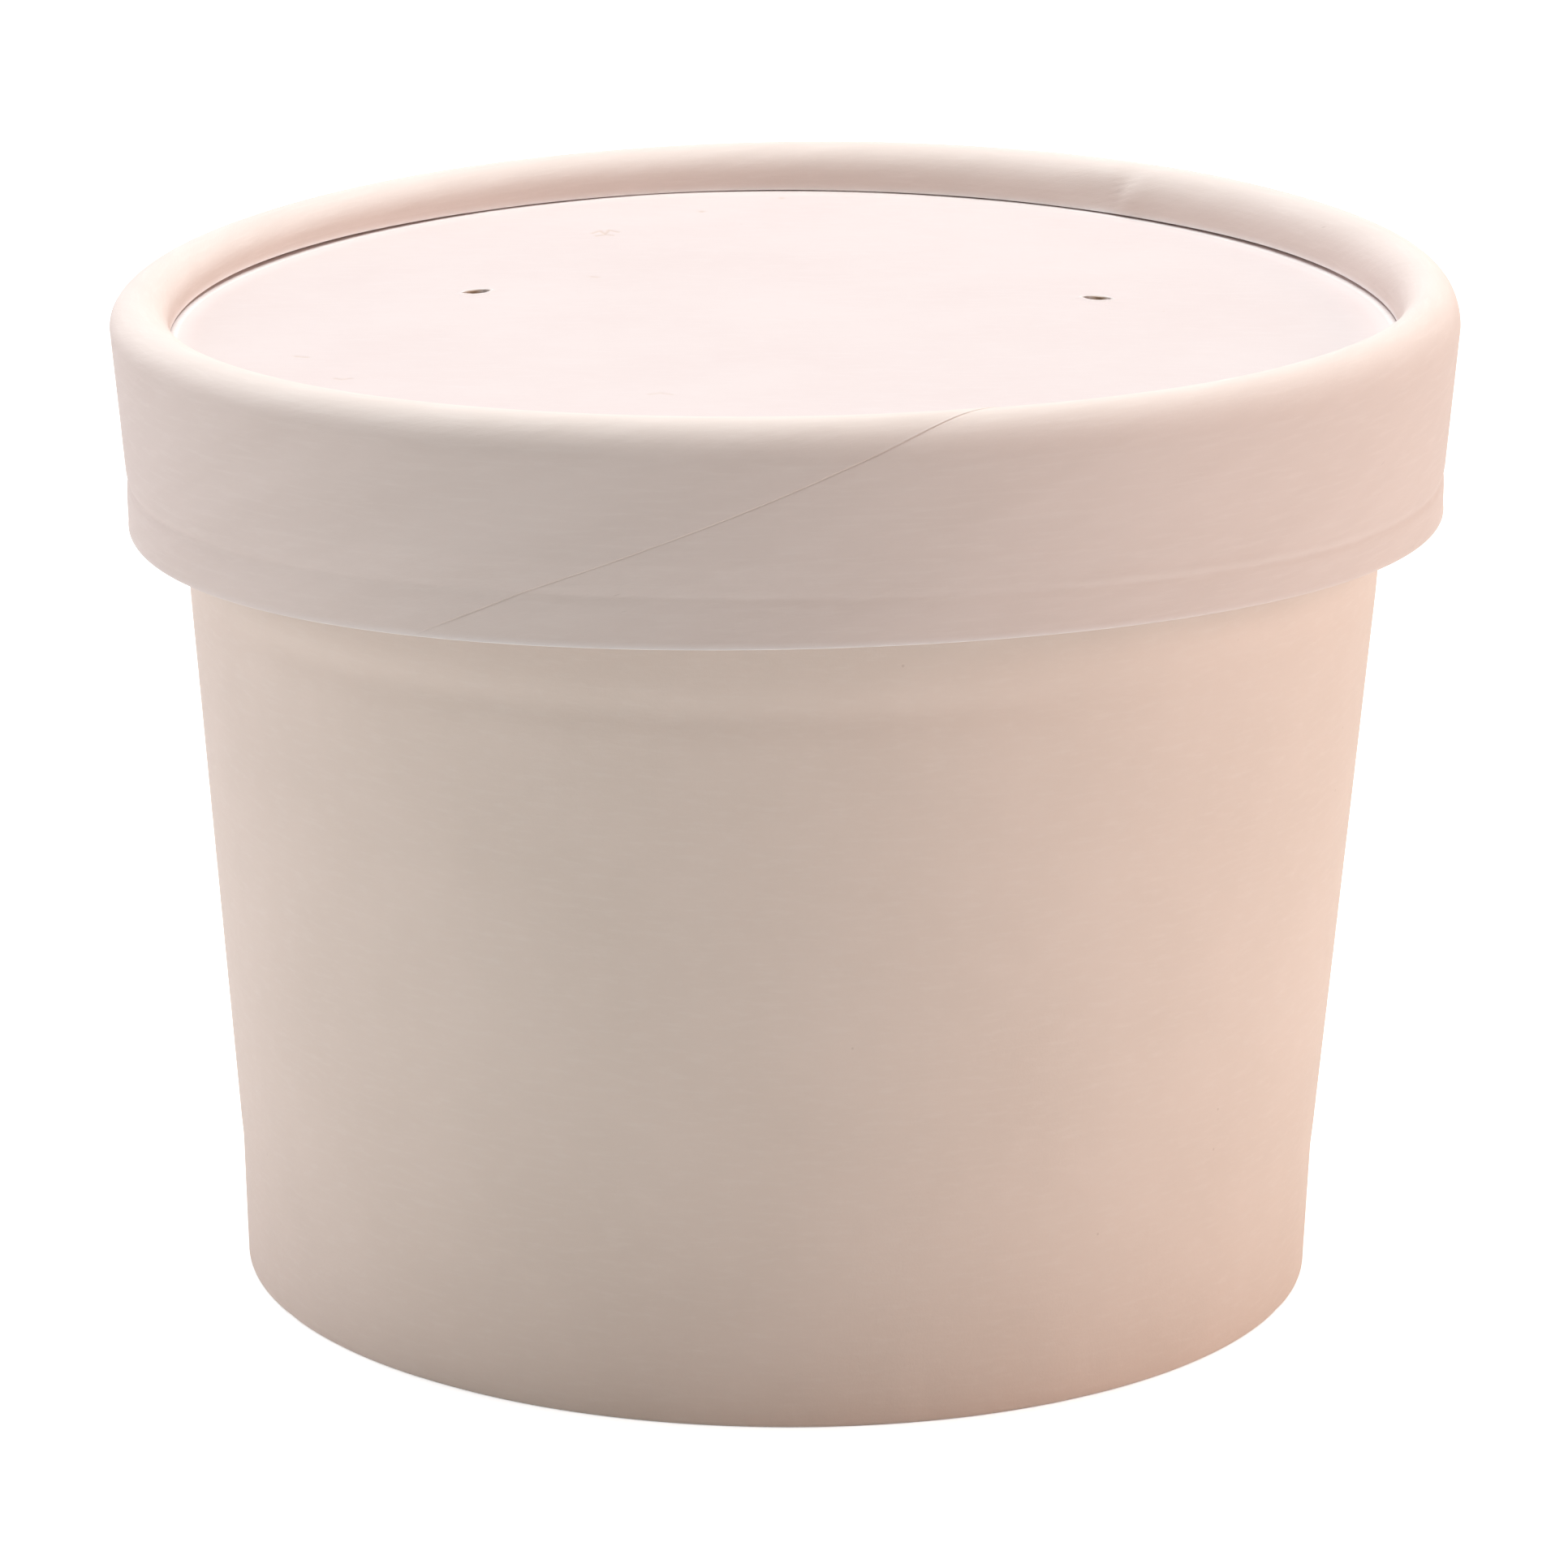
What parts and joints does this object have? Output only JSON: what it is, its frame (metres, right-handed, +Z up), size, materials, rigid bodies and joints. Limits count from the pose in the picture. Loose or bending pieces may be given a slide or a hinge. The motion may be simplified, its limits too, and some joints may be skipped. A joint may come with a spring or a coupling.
{
  "type": "paper food container with lid",
  "caption": "Round paper food container, tapered cup with a recessed base, closed by a shallow paper lid with a rolled edge, a crimped skirt and small vent slits.",
  "frame": {"origin": "on the floor, at the middle of the cup's foot", "axes": "+Z up along the cup's axis; -Y towards the front, with the lap seam of the wall at +Y"},
  "size_m": [0.101, 0.101, 0.0768],
  "materials": {
    "cup_board": "matte uncoated white board outside, faint warm tint",
    "base_board": "matte board",
    "lid_board": "matte wound paper band",
    "panel_board": "matte smooth white board"
  },
  "bodies": {
    "root": {"cup_body": "cup_board", "cup_base": "base_board", "lid_band": "lid_board", "lid_panel": "panel_board"}
  },
  "joints": []
}
